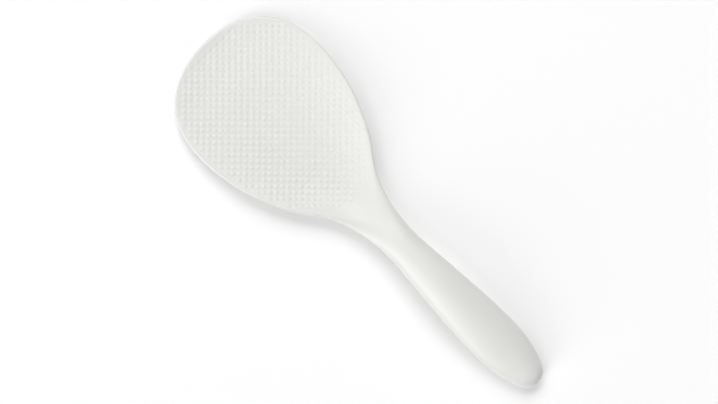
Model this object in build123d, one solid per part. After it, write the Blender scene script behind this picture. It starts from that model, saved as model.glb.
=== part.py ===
from build123d import *
import math
import os

# Rice paddle: a dished blade, a waist and a rounded grip, all one white moulding.
# Millimetres. The long axis is X with the blade at -X, Z is up and the dish faces up.
# The origin is under the middle of the length, on the surface that the paddle lies on.
# A station is the distance along the paddle from the front of the blade.

# Driving dimensions
LENGTH = 200.0
BLADE_END = 95.0
NECK_END = 122.0

# Half of the plan outline: station and half width at each turn of the curve
OUTLINE = [
    (0.0, 0.0),
    (3.0, 16.3),
    (12.0, 28.35),
    (33.0, 34.7),
    (46.0, 33.7),
    (57.0, 31.35),
    (67.0, 27.6),
    (77.0, 22.6),
    (88.0, 14.85),
    (101.0, 9.7),
    (117.0, 7.55),
    (131.0, 8.25),
    (152.0, 9.95),
    (171.0, 10.85),
    (184.5, 10.0),
    (193.0, 7.65),
    (198.0, 5.0),
    (LENGTH, 0.0),
]

# Laws along the length, each as station and size
RIM_HEIGHT = [(0, 2.0), (12, 2.7), (24, 3.8), (42, 5.5), (60, 6.7), (75, 7.0), (85, 7.1),
              (100, 6.8), (117, 7.4), (138, 9.2), (168, 6.8), (185, 4.5), (200, 3.4)]
DISH_DEPTH = [(0, 0.0), (5, 1.0), (12, 1.9), (24, 3.1), (42, 4.8), (60, 5.9), (75, 6.2),
              (85, 5.7), (92, 4.3), (100, 2.2), (110, 0.4), (118, 0.0)]
CROWN = [(50, 1.1), (75, 1.4), (84, 1.7), (92, 2.1), (100, 2.6), (108, 3.5), (117, 4.9),
         (138, 5.6), (168, 5.9), (188, 5.4), (200, 4.6)]
KEEL = [(60, 1.1), (84, 1.3), (92, 2.1), (100, 3.1), (108, 3.8), (138, 4.2), (168, 4.3),
        (188, 4.1), (200, 3.6)]
EDGE_ROUND = [(60, 1.2), (75, 1.8), (84, 2.2), (92, 3.7), (97, 5.2), (101, 6.4), (106, 7.9),
              (117, 7.8), (138, 9.0), (168, 10.8), (190, 8.5), (200, 6.0)]
ROUND_POWER = [(60, 0.5), (84, 0.6), (100, 0.66), (138, 0.66), (168, 0.6), (200, 0.56)]

# Raised dots on the dished face
NUB_PITCH = 2.6
NUB_RADIUS = 1.2
NUB_TOP_RADIUS = 0.45
NUB_HEIGHT = 0.2
NUB_SEAT = 0.02
NUB_BORDER = 2.0
NUB_FIELD_END = 91.0
NUB_FIELD_ROUND = 15.0

# How finely the body is sectioned
SECTIONS = 30
SECTION_STEPS = 32
HALVINGS = 40
TIP_SLIVER = 0.05


def law(pairs):
    """A smooth curve through the pairs, level at both ends and flat beyond them."""
    stations = [float(pair[0]) for pair in pairs]
    sizes = [float(pair[1]) for pair in pairs]
    steps = [b - a for a, b in zip(stations, stations[1:])]
    rises = [(b - a) / step for a, b, step in zip(sizes, sizes[1:], steps)]
    slopes = [0.0]
    for i in range(1, len(steps)):
        before, after = steps[i - 1], steps[i]
        slopes.append((rises[i - 1] * after + rises[i] * before) / (before + after))
    slopes.append(0.0)

    def size_at(station):
        station = min(max(station, stations[0]), stations[-1])
        i = max(k for k in range(len(steps)) if stations[k] <= station)
        u = (station - stations[i]) / steps[i]
        ends = sizes[i] * (1 + 2 * u) * (1 - u) ** 2 + sizes[i + 1] * u * u * (3 - 2 * u)
        return ends + steps[i] * (slopes[i] * u * (1 - u) ** 2 - slopes[i + 1] * u * u * (1 - u))

    return size_at


rim_height = law(RIM_HEIGHT)
dish_depth = law(DISH_DEPTH)
crown = law(CROWN)
keel = law(KEEL)
edge_round = law(EDGE_ROUND)
round_power = law(ROUND_POWER)

other_side = [(station, -across) for station, across in reversed(OUTLINE[1:-1])]
outline = Spline(*OUTLINE, *other_side, periodic=True)
HALF_WAY = 0.5


def outline_share(station):
    """How far round the outline the near side reaches this station, from 0 to half way."""
    low, high = 0.0, HALF_WAY
    for _ in range(HALVINGS):
        middle = (low + high) / 2
        if outline.position_at(middle).X < station:
            low = middle
        else:
            high = middle
    return (low + high) / 2


def half_width(station):
    return outline.position_at(outline_share(station)).Y


def middle_height(station, across, width):
    """Height of the surface halfway through the wall, dished across the width."""
    return rim_height(station) - dish_depth(station) * (1 - (across / width) ** 2)


def edge_share(station, across):
    """0 at the outline, rising steeply and then levelling to 1 where the edge's round ends."""
    inset = outline.distance_to(Vector(station, across))
    return (1 - (1 - min(inset / edge_round(station), 1)) ** 2) ** round_power(station)


def top_height(station, across, width):
    return middle_height(station, across, width) + crown(station) * edge_share(station, across)


def bottom_height(station, across, width):
    return middle_height(station, across, width) - keel(station) * edge_share(station, across)


def section_stops(width):
    """Places across one section, closer together towards the edges, as on a circle."""
    turns = [math.pi * step / SECTION_STEPS for step in range(SECTION_STEPS + 1)]
    return [-width * math.cos(turn) for turn in turns]


def section(station):
    """One closed section of the moulding, square to its length."""
    width = half_width(station)
    x = station - LENGTH / 2
    stops = section_stops(width)
    over = [Vector(x, across, top_height(station, across, width)) for across in stops]
    under = [Vector(x, across, bottom_height(station, across, width)) for across in stops]
    even = [step / SECTION_STEPS for step in range(SECTION_STEPS + 1)]
    upper = Edge.make_spline(over, parameters=even)
    lower = Edge.make_spline([over[-1], *reversed(under[1:-1]), over[0]], parameters=even)
    return Face(Wire([upper, lower]))


def moulding():
    """The whole body, lofted through sections that are evenly spaced along the outline."""
    stations = []
    for step in range(SECTIONS + 1):
        station = outline.position_at(HALF_WAY * step / SECTIONS).X
        stations.append(min(max(station, TIP_SLIVER), LENGTH - TIP_SLIVER))
    body = loft([section(station) for station in stations])
    return split(body, bisect_by=Plane.XY, keep=Keep.TOP)


def cut_at(body, station):
    """The body in front of a station, and the body behind it."""
    plane = Plane.YZ.offset(station - LENGTH / 2)
    ahead = split(body, bisect_by=plane, keep=Keep.BOTTOM)
    behind = split(body, bisect_by=plane, keep=Keep.TOP)
    return ahead, behind


def in_nub_field(station, across):
    """Whether a dot stands here: clear of the edge, and ahead of the rounded end of the field."""
    if station <= 0 or station > NUB_FIELD_END - across ** 2 / (2 * NUB_FIELD_ROUND):
        return False
    if abs(across) >= half_width(station):
        return False
    return outline.distance_to(Vector(station, across)) > NUB_BORDER


def nub():
    """A low round dot with sloping sides and a small flat top, standing on its foot."""
    standing = (Align.CENTER, Align.CENTER, Align.MIN)
    return Cone(NUB_RADIUS, NUB_TOP_RADIUS, NUB_HEIGHT, align=standing)


def surface_frame(face, station, across):
    """A plane that lies on the dished face at this place."""
    height = top_height(station, across, half_width(station))
    foot = face.closest_points(Vertex(station - LENGTH / 2, across, height))[0]
    outward = face.normal_at(foot)
    return Plane(origin=foot + outward * NUB_SEAT, z_dir=outward)


def front_nubs(blade):
    """Dots in diagonal rows over the dished face, with a row of them on the paddle's own axis."""
    face = max(blade.faces(), key=lambda side: side.normal_at().Z * side.area)
    dot = nub()
    half_step = NUB_PITCH / math.sqrt(2)
    rows = math.ceil(max(point[1] for point in OUTLINE) / half_step)
    columns = math.ceil(NUB_FIELD_END / half_step)
    dots = []
    for column in range(columns + 1):
        for row in range(-rows, rows + 1):
            if (column + row) % 2:
                continue
            station, across = column * half_step, row * half_step
            if in_nub_field(station, across):
                dots.append(surface_frame(face, station, across).location * dot)
    return Compound(dots)


body = moulding()
blade, rest = cut_at(body, BLADE_END)
neck, handle = cut_at(rest, NECK_END)

parts = {
    "blade": blade,
    "neck": neck,
    "handle": handle,
    "front_nubs": front_nubs(blade),
}

os.makedirs("parts", exist_ok=True)
for name, shape in parts.items():
    export_step(shape, f"parts/{name}.step")
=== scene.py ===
import math

import bpy
import numpy as np
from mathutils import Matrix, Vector


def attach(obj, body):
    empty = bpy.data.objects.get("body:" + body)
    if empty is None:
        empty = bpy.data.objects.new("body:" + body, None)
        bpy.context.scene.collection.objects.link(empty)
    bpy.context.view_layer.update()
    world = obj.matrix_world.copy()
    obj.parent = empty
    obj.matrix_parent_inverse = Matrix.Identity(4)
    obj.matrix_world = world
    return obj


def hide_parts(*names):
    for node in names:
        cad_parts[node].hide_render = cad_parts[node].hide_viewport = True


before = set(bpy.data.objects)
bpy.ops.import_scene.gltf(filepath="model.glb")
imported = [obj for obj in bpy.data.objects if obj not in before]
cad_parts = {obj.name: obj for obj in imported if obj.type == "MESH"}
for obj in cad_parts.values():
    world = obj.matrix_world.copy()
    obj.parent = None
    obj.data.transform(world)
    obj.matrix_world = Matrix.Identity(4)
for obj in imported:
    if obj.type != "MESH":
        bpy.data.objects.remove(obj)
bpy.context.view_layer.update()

# The paddle lies along X with its blade at -X, and the dish faces up. Its sizes are in millimetres
# and become metres as a mesh is made. A station is the distance from the front of the blade.
MM = 0.001
LENGTH = 200.0
BLADE_END = 95.0
NECK_END = 122.0

# Half of the plan outline: station and half width at each turn of the curve
OUTLINE = [
    (0.0, 0.0),
    (3.0, 16.3),
    (12.0, 28.35),
    (33.0, 34.7),
    (46.0, 33.7),
    (57.0, 31.35),
    (67.0, 27.6),
    (77.0, 22.6),
    (88.0, 14.85),
    (101.0, 9.7),
    (117.0, 7.55),
    (131.0, 8.25),
    (152.0, 9.95),
    (171.0, 10.85),
    (184.5, 10.0),
    (193.0, 7.65),
    (198.0, 5.0),
    (LENGTH, 0.0),
]

# Laws along the length, each as station and size. The wall is built about a curved sheet: how high
# the sheet runs at the outline, and how far it sinks on the middle line.
RIM_HEIGHT = [(0, 2.0), (12, 2.7), (24, 3.8), (42, 5.5), (60, 6.7), (75, 7.0), (85, 7.1),
              (100, 6.8), (117, 7.4), (138, 9.2), (168, 6.8), (185, 4.5), (200, 3.4)]
DISH_DEPTH = [(0, 0.0), (5, 1.0), (12, 1.9), (24, 3.1), (42, 4.8), (60, 5.9), (75, 6.2),
              (85, 5.7), (92, 4.3), (100, 2.2), (110, 0.4), (118, 0.0)]
# How far the upper and the under face stand off the sheet
CROWN = [(50, 1.1), (75, 1.4), (84, 1.7), (92, 2.1), (100, 2.6), (108, 3.5), (117, 4.9),
         (138, 5.6), (168, 5.9), (188, 5.4), (200, 4.6)]
KEEL = [(60, 1.1), (84, 1.3), (92, 2.1), (100, 3.1), (108, 3.8), (138, 4.2), (168, 4.3),
        (188, 4.1), (200, 3.6)]
# The width of the edge's round, and how full it is: 0.5 is a quarter of an ellipse
EDGE_ROUND = [(60, 1.2), (75, 1.8), (84, 2.2), (92, 3.7), (97, 5.2), (101, 6.4), (106, 7.9),
              (117, 7.8), (138, 9.0), (168, 10.8), (190, 8.5), (200, 6.0)]
ROUND_POWER = [(60, 0.5), (84, 0.6), (100, 0.66), (138, 0.66), (168, 0.6), (200, 0.56)]

# Raised dots on the dished face, at the crossings of a square grid laid diagonally. A dot runs on
# under the face by NUB_FOOT. NUB_BORDER is the bare border beside the outline. The rear end of the
# field is an arc with the radius NUB_FIELD_ROUND. The grid starts at the height NUB_DROP and is
# dropped on the face. NUB_ROOM names the measure of how far inside the field a place is.
NUB_PITCH = 2.6
NUB_GRID_TURN = 45.0
NUB_RADIUS = 1.2
NUB_HEIGHT = 0.2
NUB_FOOT = 0.03
NUB_BORDER = 2.0
NUB_FIELD_END = 91.0
NUB_FIELD_ROUND = 15.0
NUB_SIDES = 12
NUB_RINGS = 3
NUB_DROP = 100.0
NUB_ROOM = "nub_room"

# Mesh steps
ACROSS_STEPS = 96
ROW_STEP = 0.6
OUTLINE_SAMPLES = 4000
PLACES_AT_ONCE = 2000
LEAST_WIDTH = 1e-9

# White plastic: the two tones of its faint clouding, its matt range, and its index and share of
# reflection
PLASTIC_TONES = ((0.785, 0.790, 0.760, 1), (0.800, 0.803, 0.777, 1))
PLASTIC_MATT = (0.38, 0.46)
PLASTIC_IOR = 1.49
PLASTIC_SPECULAR = 0.5

# Noise patterns in it, each as features a metre, detail and roughness. Nearly all of a pattern's
# values lie in NOISE_RANGE.
CLOUDS = (30, 3, 0.5)
MATT_SPOTS = (120, 4, 0.5)
RIPPLES = (55, 2, 0.5)
GRAIN = (5200, 3, 0.6)
NOISE_RANGE = (0.3, 0.7)

# Strength of the two bumps, and their depth in metres
RIPPLE_BUMP = (0.25, 0.0002)
GRAIN_BUMP = (0.35, 0.00001)

# Each softbox: where it stands, clockwise from the top of the picture, and its height above the
# floor, both in degrees, then the share of the floor's light that it gives, and its width in metres
SOFTBOXES = {
    "key": (0, 45, 0.44, 2.6),
    "right": (120, 24, 0.10, 2.2),
    "low_fill": (225, 17, 0.15, 2.2),
    "fill": (225, 48, 0.175, 2.2),
    "left": (315, 45, 0.165, 2.2),
}
SOFTBOX_DISTANCE = 4.0

# The sky's light on the object, the floor's tone, the white added to it where the camera sees it,
# and half its width in metres
SKY = 0.02
FLOOR_TONE = 0.90
FLOOR_LIFT = 0.145
FLOOR_HALF = 3.0
WHITE = (1, 1, 1, 1)

# The photograph: a straight view down, with the paddle's two ends at these pixels. The camera's
# distances are in metres, its sensor in millimetres.
FRAME_WIDTH, FRAME_HEIGHT = 718, 404
FRONT_PIXEL = (202.60, 43.52)
TAIL_PIXEL = (537.99, 382.61)
CAMERA_HEIGHT = 1.5
MIDDLE_HEIGHT = 0.005
VIEW_DEPTH = 20.0
SENSOR_WIDTH = 36.0

axis_right = TAIL_PIXEL[0] - FRONT_PIXEL[0]
axis_down = TAIL_PIXEL[1] - FRONT_PIXEL[1]
PIXEL = LENGTH * MM / math.hypot(axis_right, axis_down)
ROLL = math.atan2(axis_down, axis_right)
image_right = Vector((math.cos(ROLL), math.sin(ROLL), 0))
image_up = Vector((-math.sin(ROLL), math.cos(ROLL), 0))


def placed(name, data):
    """A new object in the scene, at the origin."""
    thing = bpy.data.objects.new(name, data)
    bpy.context.scene.collection.objects.link(thing)
    return thing


def add_node(tree, kind, **settings):
    node = tree.nodes.new(kind)
    for key, value in settings.items():
        setattr(node, key, value)
    return node


# Shape

def law(pairs):
    """A smooth curve through the pairs, level at both ends and flat beyond them."""
    stations, sizes = np.array(pairs, float).T
    steps = np.diff(stations)
    rises = np.diff(sizes) / steps
    slopes = np.zeros(len(sizes))
    slopes[1:-1] = (rises[:-1] * steps[1:] + rises[1:] * steps[:-1]) / (steps[:-1] + steps[1:])

    def size_at(station):
        station = np.clip(station, stations[0], stations[-1])
        i = np.clip(np.searchsorted(stations, station, side="right") - 1, 0, len(steps) - 1)
        u = (station - stations[i]) / steps[i]
        ends = sizes[i] * (1 + 2 * u) * (1 - u) ** 2 + sizes[i + 1] * u * u * (3 - 2 * u)
        return ends + steps[i] * (slopes[i] * u * (1 - u) ** 2 - slopes[i + 1] * u * u * (1 - u))

    return size_at


def closed_curve(points, samples):
    """Evenly spaced points on a smooth closed curve through the given ones."""
    points = np.array(points, float)
    count = len(points)
    after = np.roll(points, -1, axis=0)
    spans = np.linalg.norm(after - points, axis=1)
    before = np.roll(spans, 1)
    slopes = (after - points) / spans[:, None]
    bend = np.zeros((count, count))
    for i in range(count):
        bend[i, i - 1] += before[i]
        bend[i, i] += 2 * (before[i] + spans[i])
        bend[i, (i + 1) % count] += spans[i]
    curls = np.linalg.solve(bend, 6 * (slopes - np.roll(slopes, 1, axis=0)))
    knots = np.concatenate([[0.0], np.cumsum(spans)])
    at = np.linspace(0, knots[-1], samples, endpoint=False)
    i = np.clip(np.searchsorted(knots, at, side="right") - 1, 0, count - 1)
    a = (knots[i + 1] - at)[:, None]
    b = (at - knots[i])[:, None]
    h = spans[i][:, None]
    start, end = curls[i], curls[(i + 1) % count]
    bulge = (start * a ** 3 + end * b ** 3) / (6 * h)
    return bulge + (points[i] / h - start * h / 6) * a + (after[i] / h - end * h / 6) * b


other_side = [(station, -across) for station, across in reversed(OUTLINE[1:-1])]
outline = closed_curve(OUTLINE + other_side, OUTLINE_SAMPLES)
near_side = outline[: OUTLINE_SAMPLES // 2 + 1].copy()
near_side[0] = (0, 0)
near_side[-1] = (LENGTH, 0)
near_run = np.concatenate([[0], np.cumsum(np.linalg.norm(np.diff(near_side, axis=0), axis=1))])

rim_height = law(RIM_HEIGHT)
dish_depth = law(DISH_DEPTH)
crown = law(CROWN)
keel = law(KEEL)
edge_round = law(EDGE_ROUND)
round_power = law(ROUND_POWER)


def edge_distance(station, across):
    """How far inside the outline each place is."""
    places = np.stack([station.ravel(), np.abs(across).ravel()], axis=1)
    starts, steps = near_side[:-1], np.diff(near_side, axis=0)
    nearest = np.empty(len(places))
    for first in range(0, len(places), PLACES_AT_ONCE):
        some = slice(first, first + PLACES_AT_ONCE)
        off = places[some, None, :] - starts
        share = (off * steps).sum(-1) / (steps ** 2).sum(-1)
        foot = starts + np.clip(share, 0, 1)[..., None] * steps
        gap = places[some, None, :] - foot
        nearest[some] = np.sqrt((gap ** 2).sum(-1).min(axis=1))
    return nearest.reshape(station.shape)


def surface_heights(station, across, width):
    """Heights of the upper and the under face, and the distance to the outline."""
    inset = edge_distance(station, across)
    turned = (1 - (1 - np.minimum(inset / edge_round(station), 1)) ** 2) ** round_power(station)
    share = across / np.maximum(width, LEAST_WIDTH)
    middle = rim_height(station) - dish_depth(station) * (1 - share ** 2)
    upper = middle + crown(station) * turned
    under = np.maximum(middle - keel(station) * turned, 0)
    return upper, under, inset


def rows_between(start, end):
    """Stations and half widths of a piece's rows, evenly spaced along the outline."""
    run_start = np.interp(start, near_side[:, 0], near_run)
    run_end = np.interp(end, near_side[:, 0], near_run)
    runs = np.linspace(run_start, run_end, max(2, round((run_end - run_start) / ROW_STEP)) + 1)
    stations = np.interp(runs, near_run, near_side[:, 0])
    stations[0], stations[-1] = start, end
    return stations, np.interp(runs, near_run, near_side[:, 1])


def side_faces(rows, ring):
    """Faces between the rings of points that stand in rows along the length."""
    faces = []
    for row in range(rows - 1):
        near, far = row * ring, (row + 1) * ring
        for i in range(ring):
            j = (i + 1) % ring
            faces.append((near + i, far + i, far + j, near + j))
    return faces


def end_wall(loop):
    """Faces of the flat wall that fills a ring, facing the front."""
    top = loop[:ACROSS_STEPS + 1]
    bottom = [loop[0]] + loop[:ACROSS_STEPS:-1] + [loop[ACROSS_STEPS]]
    walls = ([top[i], top[i + 1], bottom[i + 1], bottom[i]] for i in range(ACROSS_STEPS))
    return [tuple(dict.fromkeys(wall)) for wall in walls]


def body_piece(name, start, end):
    """A closed stretch of the moulding, with a flat wall where it meets the next one."""
    stations, widths = rows_between(start, end)
    front_tip, tail_tip = start == 0, end == LENGTH
    if front_tip:
        stations, widths = stations[1:], widths[1:]
    if tail_tip:
        stations, widths = stations[:-1], widths[:-1]
    turns = np.linspace(0, math.pi, ACROSS_STEPS + 1)
    across = -np.cos(turns)[None, :] * widths[:, None]
    station = np.repeat(stations[:, None], ACROSS_STEPS + 1, axis=1)
    upper, under, inset = surface_heights(station, across, widths[:, None])
    upper[:, [0, -1]] = (upper[:, [0, -1]] + under[:, [0, -1]]) / 2
    x = station - LENGTH / 2
    over = np.stack([x, across, upper], axis=-1)
    below = np.stack([x, across, under], axis=-1)[:, 1:-1][:, ::-1]
    rings = np.concatenate([over, below], axis=1)
    rows, ring = rings.shape[:2]
    points = [tuple(point) for point in rings.reshape(-1, 3) * MM]
    faces = side_faces(rows, ring)
    seams = set()
    for row, is_tip, at_tail in ((0, front_tip, False), (rows - 1, tail_tip, True)):
        loop = [row * ring + i for i in range(ring)]
        edges = [(loop[i], loop[(i + 1) % ring]) for i in range(ring)]
        if is_tip:
            place = LENGTH if at_tail else 0
            caps = [edge + (len(points),) for edge in edges]
            points.append(((place - LENGTH / 2) * MM, 0, float(rim_height(place)) * MM))
        else:
            caps = end_wall(loop)
            seams.update(frozenset(edge) for edge in edges)
        faces += [cap[::-1] if at_tail else cap for cap in caps]
    mesh = bpy.data.meshes.new(name)
    mesh.from_pydata(points, [], faces)
    mesh.validate()
    mesh.polygons.foreach_set("use_smooth", [True] * len(mesh.polygons))
    for edge in mesh.edges:
        if frozenset(edge.vertices) in seams:
            edge.use_edge_sharp = True
    # How far inside the field of dots each place on the upper face is
    end_of_field = NUB_FIELD_END - across ** 2 / (2 * NUB_FIELD_ROUND) - station
    field = np.zeros((rows, ring))
    field[:, :ACROSS_STEPS + 1] = np.minimum(inset - NUB_BORDER, end_of_field)
    room = np.zeros(len(points))
    room[:field.size] = field.ravel()
    mesh.attributes.new(NUB_ROOM, "FLOAT", "POINT").data.foreach_set("value", room)
    return placed(name, mesh)


# Raised dots

def nub_mesh():
    """One low dome. Its foot continues the round to just under the face that carries it."""
    ball = (NUB_RADIUS ** 2 + NUB_HEIGHT ** 2) / (2 * NUB_HEIGHT)
    widest = math.asin(NUB_RADIUS / ball)
    leans = [widest * ring / NUB_RINGS for ring in range(1, NUB_RINGS + 1)]
    rings = [(ball * math.sin(lean), ball * math.cos(lean) - ball + NUB_HEIGHT) for lean in leans]
    rings.append((math.sqrt(ball ** 2 - (ball - NUB_HEIGHT - NUB_FOOT) ** 2), -NUB_FOOT))
    turns = [2 * math.pi * side / NUB_SIDES for side in range(NUB_SIDES)]
    points = [(0, 0, NUB_HEIGHT)]
    for radius, height in rings:
        points += [(radius * math.cos(turn), radius * math.sin(turn), height) for turn in turns]
    sides = [(side, (side + 1) % NUB_SIDES) for side in range(NUB_SIDES)]
    faces = [(0, 1 + side, 1 + after) for side, after in sides]
    for ring in range(NUB_RINGS):
        inner, outer = 1 + ring * NUB_SIDES, 1 + (ring + 1) * NUB_SIDES
        faces += [(inner + side, outer + side, outer + after, inner + after) for side, after in sides]
    dome_faces = len(faces)
    foot = 1 + NUB_RINGS * NUB_SIDES
    faces.append(tuple(foot + side for side in reversed(range(NUB_SIDES))))
    mesh = bpy.data.meshes.new("nub")
    mesh.from_pydata([tuple(c * MM for c in point) for point in points], [], faces)
    mesh.polygons.foreach_set("use_smooth", [i < dome_faces for i in range(len(faces))])
    return mesh


def nub_tree(material):
    """Dots at the crossings of a diagonal grid, dropped on the face and kept where it has room."""
    tree = bpy.data.node_groups.new("nub_field", "GeometryNodeTree")
    given_sockets = {
        "Geometry": "Geometry",
        "Face": "Object",
        "Dot": "Object",
        "Pitch": "Float",
        "Crossings": "Int",
        "Start": "Vector",
    }
    for name, kind in given_sockets.items():
        tree.interface.new_socket(name, in_out="INPUT", socket_type="NodeSocket" + kind)
    tree.interface.new_socket("Geometry", in_out="OUTPUT", socket_type="NodeSocketGeometry")
    link = tree.links.new
    given = add_node(tree, "NodeGroupInput")

    # The grid, laid above the face with its middle over the front of the blade
    size = add_node(tree, "ShaderNodeMath", operation="MULTIPLY")
    gaps = add_node(tree, "ShaderNodeMath", operation="SUBTRACT")
    link(given.outputs["Crossings"], gaps.inputs[0])
    gaps.inputs[1].default_value = 1
    link(given.outputs["Pitch"], size.inputs[0])
    link(gaps.outputs[0], size.inputs[1])
    grid = add_node(tree, "GeometryNodeMeshGrid")
    for axis in "XY":
        link(size.outputs[0], grid.inputs["Size " + axis])
        link(given.outputs["Crossings"], grid.inputs["Vertices " + axis])
    crossings = add_node(tree, "GeometryNodeMeshToPoints", mode="VERTICES")
    link(grid.outputs["Mesh"], crossings.inputs["Mesh"])
    place = add_node(tree, "GeometryNodeTransform")
    place.inputs["Rotation"].default_value = (0, 0, math.radians(NUB_GRID_TURN))
    link(crossings.outputs["Points"], place.inputs["Geometry"])
    link(given.outputs["Start"], place.inputs["Translation"])

    # The drop straight down on the face, with what it finds there
    face = add_node(tree, "GeometryNodeObjectInfo")
    link(given.outputs["Face"], face.inputs["Object"])
    room = add_node(tree, "GeometryNodeInputNamedAttribute", data_type="FLOAT")
    room.inputs["Name"].default_value = NUB_ROOM
    drop = add_node(tree, "GeometryNodeRaycast", data_type="FLOAT")
    link(face.outputs["Geometry"], drop.inputs["Target Geometry"])
    link(room.outputs["Attribute"], drop.inputs["Attribute"])
    drop.inputs["Ray Direction"].default_value = (0, 0, -1)
    drop.inputs["Ray Length"].default_value = NUB_DROP * MM
    keep = add_node(tree, "GeometryNodeCaptureAttribute")
    keep.capture_items.new("VECTOR", "Foot")
    keep.capture_items.new("VECTOR", "Outward")
    keep.capture_items.new("FLOAT", "Room")
    link(place.outputs["Geometry"], keep.inputs["Geometry"])
    link(drop.outputs["Hit Position"], keep.inputs["Foot"])
    link(drop.outputs["Hit Normal"], keep.inputs["Outward"])
    link(drop.outputs["Attribute"], keep.inputs["Room"])
    outside = add_node(tree, "FunctionNodeCompare", data_type="FLOAT", operation="LESS_EQUAL")
    link(keep.outputs["Room"], outside.inputs[0])
    outside.inputs[1].default_value = 0
    clear = add_node(tree, "GeometryNodeDeleteGeometry", domain="POINT")
    link(keep.outputs["Geometry"], clear.inputs["Geometry"])
    link(outside.outputs["Result"], clear.inputs["Selection"])

    # A dot at each place that is left, square to the face
    seat = add_node(tree, "GeometryNodeSetPosition")
    link(clear.outputs["Geometry"], seat.inputs["Geometry"])
    link(keep.outputs["Foot"], seat.inputs["Position"])
    upright = add_node(tree, "FunctionNodeAlignRotationToVector", axis="Z")
    link(keep.outputs["Outward"], upright.inputs["Vector"])
    dot = add_node(tree, "GeometryNodeObjectInfo")
    link(given.outputs["Dot"], dot.inputs["Object"])
    spread = add_node(tree, "GeometryNodeInstanceOnPoints")
    link(seat.outputs["Geometry"], spread.inputs["Points"])
    link(dot.outputs["Geometry"], spread.inputs["Instance"])
    link(upright.outputs["Rotation"], spread.inputs["Rotation"])
    real = add_node(tree, "GeometryNodeRealizeInstances")
    link(spread.outputs["Instances"], real.inputs["Geometry"])
    finish = add_node(tree, "GeometryNodeSetMaterial")
    finish.inputs["Material"].default_value = material
    link(real.outputs["Geometry"], finish.inputs["Geometry"])
    result = add_node(tree, "NodeGroupOutput")
    link(finish.outputs["Geometry"], result.inputs["Geometry"])
    return tree


def front_nubs(blade, material):
    """The field of raised dots over the dished face, as one plain mesh."""
    dot = placed("nub", nub_mesh())
    seed = placed("front_nubs_seed", bpy.data.meshes.new("front_nubs_seed"))
    tree = nub_tree(material)
    modifier = seed.modifiers.new("nubs", "NODES")
    modifier.node_group = tree
    reach = (NUB_FIELD_END + max(width for _, width in OUTLINE)) / (NUB_PITCH * math.sqrt(2))
    sizes = {
        "Face": blade,
        "Dot": dot,
        "Pitch": NUB_PITCH * MM,
        "Crossings": 2 * math.ceil(reach) + 1,
        "Start": (-LENGTH / 2 * MM, 0, NUB_DROP * MM),
    }
    for item in tree.interface.items_tree:
        if item.in_out == "INPUT" and item.name in sizes:
            modifier[item.identifier] = sizes[item.name]
    bpy.context.view_layer.update()
    graph = bpy.context.evaluated_depsgraph_get()
    mesh = bpy.data.meshes.new_from_object(seed.evaluated_get(graph), depsgraph=graph)
    mesh.name = "front_nubs"
    for helper in (seed, dot):
        bpy.data.objects.remove(helper)
    return placed("front_nubs_dressed", mesh)


# Materials

def shader(name):
    material = bpy.data.materials.new(name)
    material.use_nodes = True
    return material, material.node_tree, material.node_tree.nodes["Principled BSDF"]


def noise(tree, scale, detail, roughness):
    """Noise on the object's own coordinates; scale is in features a metre."""
    where = add_node(tree, "ShaderNodeTexCoord")
    pattern = add_node(tree, "ShaderNodeTexNoise")
    pattern.inputs["Scale"].default_value = scale
    pattern.inputs["Detail"].default_value = detail
    pattern.inputs["Roughness"].default_value = roughness
    tree.links.new(where.outputs["Object"], pattern.inputs["Vector"])
    return pattern.outputs["Fac"]


def spread_between(tree, value, low, high):
    """A noise pattern's values, stretched to run from low to high."""
    scaled = add_node(tree, "ShaderNodeMapRange")
    scaled.inputs["From Min"].default_value = NOISE_RANGE[0]
    scaled.inputs["From Max"].default_value = NOISE_RANGE[1]
    scaled.inputs["To Min"].default_value = low
    scaled.inputs["To Max"].default_value = high
    tree.links.new(value, scaled.inputs["Value"])
    return scaled.outputs["Result"]


def bump(tree, strength, depth, height):
    """A bump node that raises the surface by the pattern given as height."""
    relief = add_node(tree, "ShaderNodeBump")
    relief.inputs["Strength"].default_value = strength
    relief.inputs["Distance"].default_value = depth
    tree.links.new(height, relief.inputs["Height"])
    return relief


def white_polypropylene():
    """Satin white moulding: faint clouding, a fine moulded grain and slow ripples."""
    material, tree, bsdf = shader("white_polypropylene")
    link = tree.links.new
    tone = add_node(tree, "ShaderNodeMix", data_type="RGBA")
    tone.inputs["A"].default_value, tone.inputs["B"].default_value = PLASTIC_TONES
    link(spread_between(tree, noise(tree, *CLOUDS), 0, 1), tone.inputs["Factor"])
    link(tone.outputs["Result"], bsdf.inputs["Base Color"])
    link(spread_between(tree, noise(tree, *MATT_SPOTS), *PLASTIC_MATT), bsdf.inputs["Roughness"])
    bsdf.inputs["IOR"].default_value = PLASTIC_IOR
    bsdf.inputs["Specular IOR Level"].default_value = PLASTIC_SPECULAR
    ripple = bump(tree, *RIPPLE_BUMP, noise(tree, *RIPPLES))
    grain = bump(tree, *GRAIN_BUMP, noise(tree, *GRAIN))
    link(ripple.outputs["Normal"], grain.inputs["Normal"])
    link(grain.outputs["Normal"], bsdf.inputs["Normal"])
    return material


def seen_by_camera(tree):
    """1 for what the camera sees directly, in a reflection or through something clear, else 0."""
    path = add_node(tree, "ShaderNodeLightPath")
    total = path.outputs["Is Camera Ray"]
    for name in ("Is Glossy Ray", "Is Transmission Ray"):
        more = add_node(tree, "ShaderNodeMath", operation="MAXIMUM")
        tree.links.new(total, more.inputs[0])
        tree.links.new(path.outputs[name], more.inputs[1])
        total = more.outputs[0]
    return total


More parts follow.
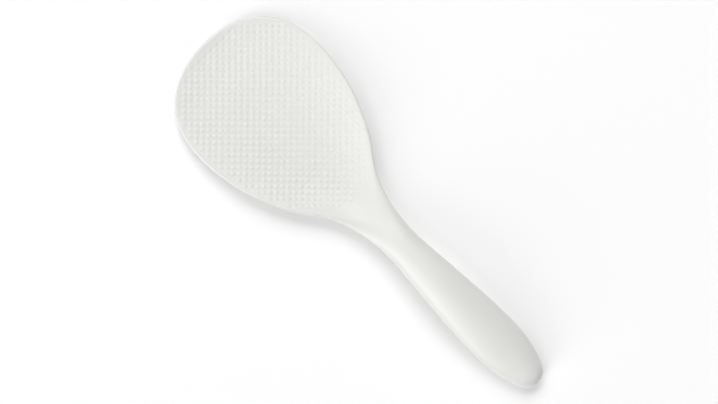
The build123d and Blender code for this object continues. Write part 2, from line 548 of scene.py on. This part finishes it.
def white_floor():
    """Pale matte floor that keeps the object's shadow and is lifted to white where it has none."""
    material, tree, bsdf = shader("white_floor")
    bsdf.inputs["Base Color"].default_value = (FLOOR_TONE, FLOOR_TONE, FLOOR_TONE, 1)
    bsdf.inputs["Roughness"].default_value = 1
    bsdf.inputs["Specular IOR Level"].default_value = 0
    bsdf.inputs["Emission Color"].default_value = WHITE
    lift = add_node(tree, "ShaderNodeMath", operation="MULTIPLY")
    lift.inputs[1].default_value = FLOOR_LIFT
    tree.links.new(seen_by_camera(tree), lift.inputs[0])
    tree.links.new(lift.outputs[0], bsdf.inputs["Emission Strength"])
    return material


# Stage, light and camera

def softbox(name, turn, elevation, share, size):
    """A soft square lamp that faces the object from far enough away to light the floor evenly.

    A share of 1 lights the floor so that it shows at its own tone.
    """
    turn, rise = math.radians(turn), math.radians(elevation)
    heading = image_up * math.cos(turn) + image_right * math.sin(turn)
    away = heading * math.cos(rise) + Vector((0, 0, math.sin(rise)))
    light = bpy.data.lights.new(name, "AREA")
    light.size = size
    light.energy = share * (math.pi * SOFTBOX_DISTANCE) ** 2 / math.sin(rise)
    holder = placed(name, light)
    holder.location = away * SOFTBOX_DISTANCE
    holder.rotation_euler = away.to_track_quat("Z", "Y").to_euler()
    holder.visible_camera = False


def stage():
    """The floor."""
    corners = [(-1, -1), (1, -1), (1, 1), (-1, 1)]
    mesh = bpy.data.meshes.new("floor")
    mesh.from_pydata([(x * FLOOR_HALF, y * FLOOR_HALF, 0) for x, y in corners], [], [(0, 1, 2, 3)])
    mesh.materials.append(white_floor())
    floor = placed("floor", mesh)


def sky():
    """A white sky that gives the object only a little light."""
    world = bpy.data.worlds.new("studio")
    world.use_nodes = True
    tree = world.node_tree
    background = tree.nodes["Background"]
    background.inputs["Color"].default_value = WHITE
    level = add_node(tree, "ShaderNodeMapRange")
    level.inputs["To Min"].default_value = SKY
    level.inputs["To Max"].default_value = 1
    tree.links.new(seen_by_camera(tree), level.inputs["Value"])
    tree.links.new(level.outputs["Result"], background.inputs["Strength"])
    bpy.context.scene.world = world


def camera():
    """Straight down over the middle of the frame, turned so that the paddle lies as photographed."""
    middle_right = (FRONT_PIXEL[0] + TAIL_PIXEL[0]) / 2 - FRAME_WIDTH / 2
    middle_down = (FRONT_PIXEL[1] + TAIL_PIXEL[1]) / 2 - FRAME_HEIGHT / 2
    centre = (image_up * middle_down - image_right * middle_right) * PIXEL
    data = bpy.data.cameras.new("camera")
    data.sensor_width = SENSOR_WIDTH
    data.sensor_fit = "HORIZONTAL"
    data.lens = SENSOR_WIDTH * CAMERA_HEIGHT / (FRAME_WIDTH * PIXEL)
    data.clip_end = VIEW_DEPTH
    eye = placed("camera", data)
    eye.location = centre + Vector((0, 0, CAMERA_HEIGHT + MIDDLE_HEIGHT))
    eye.rotation_euler = (0, 0, ROLL)
    bpy.context.scene.camera = eye


stage()
sky()
for name, placing in SOFTBOXES.items():
    softbox(name, *placing)
camera()
bpy.context.scene.view_settings.view_transform = "Standard"

plastic = white_polypropylene()
pieces = {
    "blade": body_piece("blade_dressed", 0, BLADE_END),
    "neck": body_piece("neck_dressed", BLADE_END, NECK_END),
    "handle": body_piece("handle_dressed", NECK_END, LENGTH),
}
pieces["front_nubs"] = front_nubs(pieces["blade"], plastic)
for node, piece in pieces.items():
    if not piece.data.materials:
        piece.data.materials.append(plastic)
    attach(piece, "root")
    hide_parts(node)
